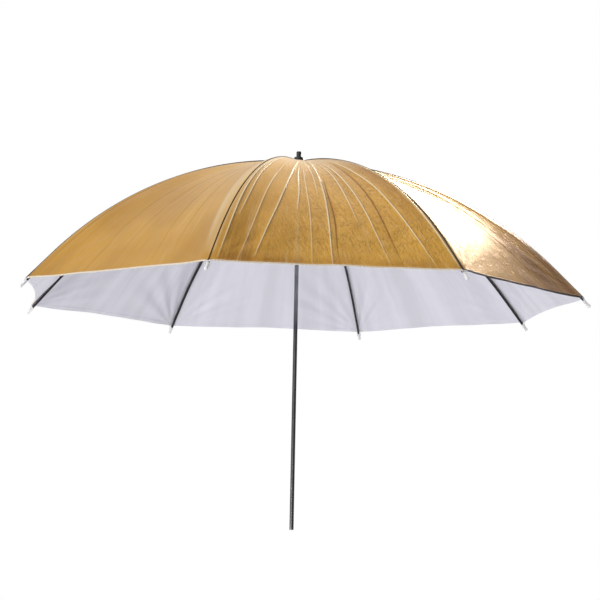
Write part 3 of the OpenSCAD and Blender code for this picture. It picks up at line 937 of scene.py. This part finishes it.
class UMBRELLA_OT_canopy(bpy.types.Operator):
    """Build the eight gores of the canopy, gold outside and silver inside"""

    bl_idname = "umbrella.canopy"
    bl_label = "Canopy"

    def execute(self, context):
        cloth = context.scene.umbrella_cloth
        gold = gold_cloth(cloth)
        silver = silver_cloth(cloth)
        pale = edge_cloth("pale_edge", (0.86, 0.80, 0.68), (0.62, 0.52, 0.36))
        # The side gore's hem binding is near black as painted shade along its hem; the other gores'
        # binding is pale.
        dark = edge_cloth("painted_shade_edge", (0.06, 0.035, 0.02), (0.02, 0.012, 0.01))
        white = edge_cloth("white_tape", (0.88, 0.87, 0.85), (0.70, 0.69, 0.68))
        area = gore_area()
        for k in range(1, RIBS + 1):
            outer, inner, places, numbers, gap, hem = gore_faces(k, cloth)
            binding = SIDE_HEM_BINDING if k == SIDE_GORE else HEM_BINDING

            def slot_of(i, j, outside):
                if hem[i, j] < CORNER_LENGTH and min(gap[i, j], gap[i, j + 1]) < CORNER_WIDTH:
                    return 3
                if hem[i, j] < binding and outside:
                    return 2
                return 0 if outside else 1

            gore = sheet_mesh(f"fabric_gore_{k}", outer, inner, places, numbers, slot_of)
            for material in (gold, silver, dark if k == SIDE_GORE else pale, white):
                gore.data.materials.append(material)
            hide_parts(f"gore_{k}")
            bind_to_ribs(gore, k)
        return {"FINISHED"}


class UMBRELLA_OT_seams(bpy.types.Operator):
    """Sew the eight seams that lie over the ribs"""

    bl_idname = "umbrella.seams"
    bl_label = "Seams"

    def execute(self, context):
        dark = thread("seam_thread", (0.040, 0.026, 0.016))
        top = SEAM_TOP
        for k in range(1, RIBS + 1):
            half = FRONT_SEAM_HALF if k == FRONT_GORE else SEAM_HALF
            section = [(-half, -SEAM_SINK), (half, -SEAM_SINK), (half, 0.6 * top), (0.4 * half, top),
                       (-0.4 * half, top), (-half, 0.6 * top)]
            s = np.linspace(GORE_START + 0.006, GORE_L - 0.003, 150)
            path = rib_point(k, s, 0.0002)
            ups = rib_point(k, s, 0.0012) - rib_point(k, s, 0.0002)
            ups /= np.linalg.norm(ups, axis=1)[:, None]
            seam = swept(f"seam_{k}", path, ups, section)
            seam.data.materials.append(dark)
            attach(seam, f"rib_arm_{k}")
        return {"FINISHED"}


class UMBRELLA_OT_tip_threads(bpy.types.Operator):
    """Tie each corner of the canopy to its rib's tip"""

    bl_idname = "umbrella.tip_threads"
    bl_label = "Tip threads"

    def execute(self, context):
        white = thread("white_thread", (0.80, 0.79, 0.76))
        hole = GORE_L + TIP_HOLE - 0.0005
        fabric = GORE_L - 0.0035
        middle = -RIB_DEPTH
        wide = TIP_R + 0.0006
        for k in range(1, RIBS + 1):
            points = [
                rib_point(k, fabric, 0.0010, -0.0046), rib_point(k, fabric + 0.004, 0.0, -0.0042),
                rib_point(k, hole - 0.003, middle, -wide), rib_point(k, hole, middle, -wide + 0.0003),
                rib_point(k, hole, middle, 0.0), rib_point(k, hole, middle, wide - 0.0003),
                rib_point(k, hole - 0.003, middle, wide), rib_point(k, fabric + 0.004, 0.0, 0.0042),
                rib_point(k, fabric, 0.0010, 0.0046),
            ]
            made = tube(f"tip_thread_{k}", points, THREAD_R, white)
            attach(made, f"rib_arm_{k}")
        return {"FINISHED"}


class UMBRELLA_OT_rosette(bpy.types.Operator):
    """Lay the pinked fabric rosette over the crown"""

    bl_idname = "umbrella.rosette"
    bl_label = "Rosette"

    def execute(self, context):
        cloth = context.scene.umbrella_cloth
        angle = np.linspace(0.0, 2 * math.pi, ROSETTE_TURNS, endpoint=False)
        rows = []
        for r in ROSETTE_RINGS:
            cut = PINKING * (np.arange(ROSETTE_TURNS) % 4 < 2) * (r == ROSETTE_RINGS[-1])
            wave = 0.00022 * np.sin(8 * angle) * np.clip((r - 0.011) / 0.005, 0, 1)
            drop = 0.0012 * np.clip((r - 0.0108) / 0.005, 0, 1) ** 1.5
            z = np.full(ROSETTE_TURNS, ROSETTE_Z) - drop + wave
            rows.append(np.stack([(r + cut) * np.cos(angle), (r + cut) * np.sin(angle), z], axis=-1))
        shape = bmesh.new()
        layers = []
        for shift in (0.0, -ROSETTE_THICKNESS):
            down = np.array([0, 0, shift])
            layers.append([[shape.verts.new(p + down) for p in row] for row in rows])
        for layer in layers:
            for first, second in zip(layer, layer[1:]):
                for j in range(ROSETTE_TURNS):
                    n = (j + 1) % ROSETTE_TURNS
                    shape.faces.new((first[j], second[j], second[n], first[n]))
        for end in (0, -1):
            for j in range(ROSETTE_TURNS):
                n = (j + 1) % ROSETTE_TURNS
                upper = layers[0][end]
                lower = layers[1][end]
                shape.faces.new((upper[j], upper[n], lower[n], lower[j]))
        bmesh.ops.recalc_face_normals(shape, faces=shape.faces)
        mesh = bpy.data.meshes.new("fabric_rosette")
        shape.to_mesh(mesh)
        shape.free()
        made = bpy.data.objects.new("fabric_rosette", mesh)
        context.collection.objects.link(made)
        mesh.materials.append(rosette_cloth(cloth))
        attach(made, "shaft")
        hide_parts("canopy_rosette")
        return {"FINISHED"}


def rosette_cloth(cloth):
    """The gold fabric of the rosette, placed by the object's own coordinates."""
    finish = Finish("rosette_cloth")
    place = finish.object_place()
    x, y, _ = finish.split(place)
    crinkle = finish.grain(place, 420.0, 3.0)
    base = finish.mix(finish.limit(crinkle, 0.35, 0.7) * 0.6, tuple(cloth.gold), tuple(cloth.bronze))
    rippled = finish.bump(crinkle, 0.0006, 0.6)
    return finish.shade(
        Base_Color=base, Metallic=0.7, Roughness=0.42 + (crinkle - 0.5) * 0.2,
        Normal=woven(finish, x, y, rippled))


class UMBRELLA_OT_shaft(bpy.types.Operator):
    """Finish the shaft, its pins and its catch"""

    bl_idname = "umbrella.shaft"
    bl_label = "Shaft"

    def execute(self, context):
        colours = context.scene.umbrella_frame
        bright = drawn_steel("plated_steel", (0.60, 0.60, 0.62), rough=0.3)
        dress("shaft_tube", drawn_steel("drawn_steel", colours.steel, rough=0.16, darkened_below=DARKENED_Z))
        for name in ("crown_wire", "crown_pin", "stop_pin", "catch_spring", "catch_rivet", "runner_wire"):
            dress(name, bright)
        return {"FINISHED"}


class UMBRELLA_OT_ribs(bpy.types.Operator):
    """Finish the ribs, the stretchers, their rivets and the ribs' tips"""

    bl_idname = "umbrella.ribs"
    bl_label = "Ribs"

    def execute(self, context):
        colours = context.scene.umbrella_frame
        lacquer = lacquered_steel(colours.lacquer)
        rivet = drawn_steel("rivet_steel", (0.55, 0.55, 0.57), rough=0.34)
        nylon = moulded_plastic("white_nylon", colours.nylon, 0.42, 0.08)
        for k in range(1, RIBS + 1):
            dress(f"rib_{k}", lacquer)
            dress(f"stretcher_{k}", lacquer)
            dress(f"joint_rivet_{k}", rivet)
            dress(f"rib_tip_{k}", nylon)
        return {"FINISHED"}


class UMBRELLA_OT_hubs(bpy.types.Operator):
    """Finish the crown, the runner, the washer and the ferrule"""

    bl_idname = "umbrella.hubs"
    bl_label = "Crown, runner and ferrule"

    def execute(self, context):
        colours = context.scene.umbrella_frame
        black = moulded_plastic("black_plastic", colours.plastic, 0.36)
        white = moulded_plastic("white_washer", colours.nylon, 0.45)
        for name in ("crown", "runner", "ferrule_collar", "ferrule_tip", "shaft_end_plug"):
            dress(name, black)
        dress("canopy_washer", white)
        return {"FINISHED"}


def area_light(name, place, aim, size, power):
    """A softbox that the camera doesn't see."""
    data = bpy.data.lights.new(name, "AREA")
    data.shape = "RECTANGLE"
    data.size, data.size_y = size
    data.energy = power
    lamp = bpy.data.objects.new(name, data)
    bpy.context.collection.objects.link(lamp)
    lamp.location = place
    lamp.rotation_euler = (Vector(aim) - Vector(place)).to_track_quat("-Z", "Y").to_euler()
    lamp.visible_camera = False


def studio_world():
    """White all round for the eye; for the object, a pale horizon under a dimmer ceiling."""
    finish = Finish("studio", "worlds")
    direction = finish.node("ShaderNodeTexCoord").outputs["Generated"]
    x, y, z = finish.split(direction)
    ceiling = finish.limit(z, 0.55, 0.99)
    colour = finish.mix(ceiling, (1.4, 1.4, 1.4), (0.90, 0.90, 0.91))
    left = finish.limit(x, -0.08, -0.40)
    colour = finish.mix(left, colour, (0.80, 0.80, 0.81))
    colour = finish.mix(finish.limit(z, 0.0, -0.4), colour, (1.5, 1.5, 1.53))
    flank = finish.limit(x, 0.12, 0.36) * finish.limit(z, -0.4, -0.05)
    colour = finish.mix(flank * 0.85, colour, (0.08, 0.08, 0.09))
    soft = finish.node("ShaderNodeBackground", None, {"Color": colour, "Strength": 1.0})
    clear = finish.node("ShaderNodeBackground", None, {"Color": (1.0, 1.0, 1.0), "Strength": 1.0})
    seen = finish.node("ShaderNodeLightPath").outputs["Is Camera Ray"]
    both = finish.node("ShaderNodeMixShader", None, {0: seen, 1: soft.outputs[0], 2: clear.outputs[0]})
    finish.node("ShaderNodeOutputWorld", None, {"Surface": both.outputs[0]})
    return finish.owner


class UMBRELLA_OT_studio(bpy.types.Operator):
    """Set up the pale floor, the soft lights and the camera"""

    bl_idname = "umbrella.studio"
    bl_label = "Studio"

    def execute(self, context):
        studio = context.scene.umbrella_studio
        context.scene.world = studio_world()
        context.scene.view_settings.view_transform = "Standard"
        shape = bmesh.new()
        bmesh.ops.create_circle(shape, cap_ends=True, segments=96, radius=FLOOR_R)
        mesh = bpy.data.meshes.new("studio_floor")
        shape.to_mesh(mesh)
        shape.free()
        floor = bpy.data.objects.new("studio_floor", mesh)
        context.collection.objects.link(floor)
        floor.location = (0.0, 0.0, studio.floor_height)
        mesh.materials.append(floor_paint())
        for softbox in SOFTBOXES:
            area_light(*softbox)
        self.add_camera(context, studio)
        return {"FINISHED"}

    def add_camera(self, context, studio):
        """Puts the camera on its place, turned to its aim and tilted by its roll."""
        az, el, roll = studio.azimuth, studio.elevation, studio.roll
        back = Vector((math.cos(el) * math.sin(az), -math.cos(el) * math.cos(az), math.sin(el)))
        right = Vector((math.cos(az), math.sin(az), 0.0))
        up = back.cross(right)
        turned_right = right * math.cos(roll) + up * math.sin(roll)
        turned_up = up * math.cos(roll) - right * math.sin(roll)
        data = bpy.data.cameras.new("camera")
        data.lens_unit = "FOV"
        data.angle = studio.field
        data.clip_start = 0.05
        camera = bpy.data.objects.new("camera", data)
        context.collection.objects.link(camera)
        aim = Vector((0.0, 0.0, studio.aim_height)) + right * studio.aim_shift
        place = aim + back * studio.distance
        axes = (turned_right, turned_up, back)
        rows = [[axis[i] for axis in axes] + [place[i]] for i in range(3)]
        camera.matrix_world = Matrix((*rows, (0.0, 0.0, 0.0, 1.0)))
        context.scene.camera = camera


class UMBRELLA_PT_panel(bpy.types.Panel):
    """The steps of the umbrella reflector and its settings"""

    bl_idname = "UMBRELLA_PT_panel"
    bl_label = "Umbrella reflector"
    bl_space_type = "VIEW_3D"
    bl_region_type = "UI"
    bl_category = "Umbrella"

    def draw(self, context):
        for operator in OPERATORS:
            self.layout.operator(operator.bl_idname)
        for name, group in GROUPS.items():
            settings = getattr(context.scene, name)
            box = self.layout.box()
            for field in group.__annotations__:
                box.prop(settings, field)


GROUPS = {
    "umbrella_cloth": ClothSettings,
    "umbrella_frame": FrameSettings,
    "umbrella_studio": StudioSettings,
}
OPERATORS = (
    UMBRELLA_OT_canopy,
    UMBRELLA_OT_seams,
    UMBRELLA_OT_tip_threads,
    UMBRELLA_OT_rosette,
    UMBRELLA_OT_shaft,
    UMBRELLA_OT_ribs,
    UMBRELLA_OT_hubs,
    UMBRELLA_OT_studio,
)


def register():
    """Adds the classes, and the settings to every scene."""
    for item in (*GROUPS.values(), *OPERATORS, UMBRELLA_PT_panel):
        bpy.utils.register_class(item)
    for name, group in GROUPS.items():
        setattr(bpy.types.Scene, name, bpy.props.PointerProperty(type=group))


def unregister():
    """Takes away what register adds."""
    for name in GROUPS:
        delattr(bpy.types.Scene, name)
    for item in reversed((*GROUPS.values(), *OPERATORS, UMBRELLA_PT_panel)):
        bpy.utils.unregister_class(item)


def main():
    register()
    for operator in OPERATORS:
        group, name = operator.bl_idname.split(".")
        getattr(getattr(bpy.ops, group), name)()


if __name__ == "__main__":
    main()
